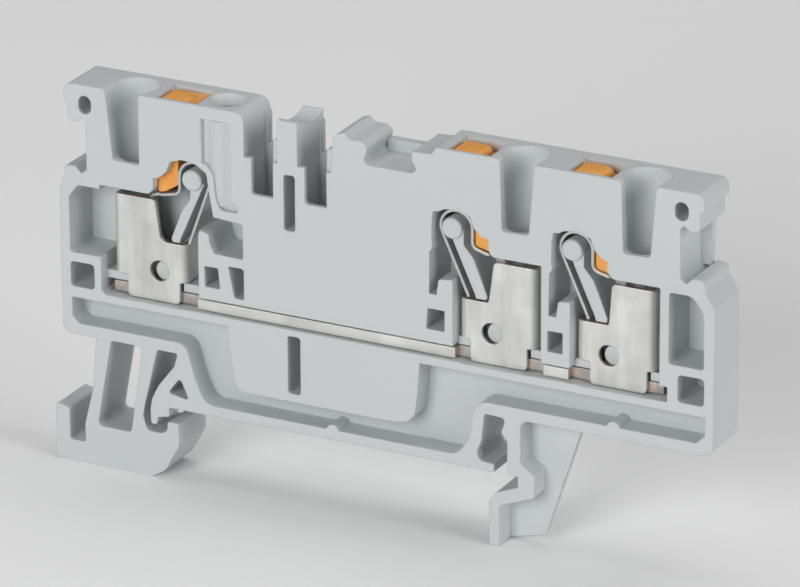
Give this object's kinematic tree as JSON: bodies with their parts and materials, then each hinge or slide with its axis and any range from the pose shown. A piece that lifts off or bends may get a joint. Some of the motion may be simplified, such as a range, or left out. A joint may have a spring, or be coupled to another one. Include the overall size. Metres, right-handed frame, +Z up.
{
  "type": "feed-through terminal block",
  "caption": "Thin rail-mounted terminal block with an open side: push-in spring clamps on one bus bar, orange release buttons, jumper slots, a test bore and hooked feet.",
  "frame": {"origin": "middle of the rail, on the plane of the seat that rests on it, halfway through the block's thickness", "axes": "+X along the block, square to the rail, towards the two-clamp end; +Y through the thickness, from the open side to the closed back, along the rail; +Z up, away from the rail"},
  "size_m": [0.0665, 0.0052, 0.0371],
  "materials": {
    "housing_plastic": "fine matte moulding, pale bluish grey",
    "button_plastic": "satin moulding, soft orange",
    "tinned_metal": "tinned copper sheet, satin, copper showing on the cut edges",
    "spring_steel": "bright rolled strip"
  },
  "bodies": {
    "block": {"housing": "housing_plastic", "bus_bar": "tinned_metal", "clamp_cage_left": "tinned_metal", "clamp_cage_mid": "tinned_metal", "clamp_cage_right": "tinned_metal", "leaf_spring_left": "spring_steel", "leaf_spring_mid": "spring_steel", "leaf_spring_right": "spring_steel"},
    "button_left": {"release_button_left": "button_plastic"},
    "button_mid": {"release_button_mid": "button_plastic"},
    "button_right": {"release_button_right": "button_plastic"}
  },
  "joints": [
    {"name": "press_left", "type": "slide", "parent": "block", "child": "button_left", "axis": [0, 0, -1], "range_m": [0, 0.0015], "stiffness_N_per_m": 6, "springref_m": -0.0005, "deforming": ["leaf_spring_left"]},
    {"name": "press_mid", "type": "slide", "parent": "block", "child": "button_mid", "axis": [0, 0, -1], "range_m": [0, 0.0015], "stiffness_N_per_m": 6, "springref_m": -0.0005, "deforming": ["leaf_spring_mid"]},
    {"name": "press_right", "type": "slide", "parent": "block", "child": "button_right", "axis": [0, 0, -1], "range_m": [0, 0.0015], "stiffness_N_per_m": 6, "springref_m": -0.0005, "deforming": ["leaf_spring_right"]}
  ]
}
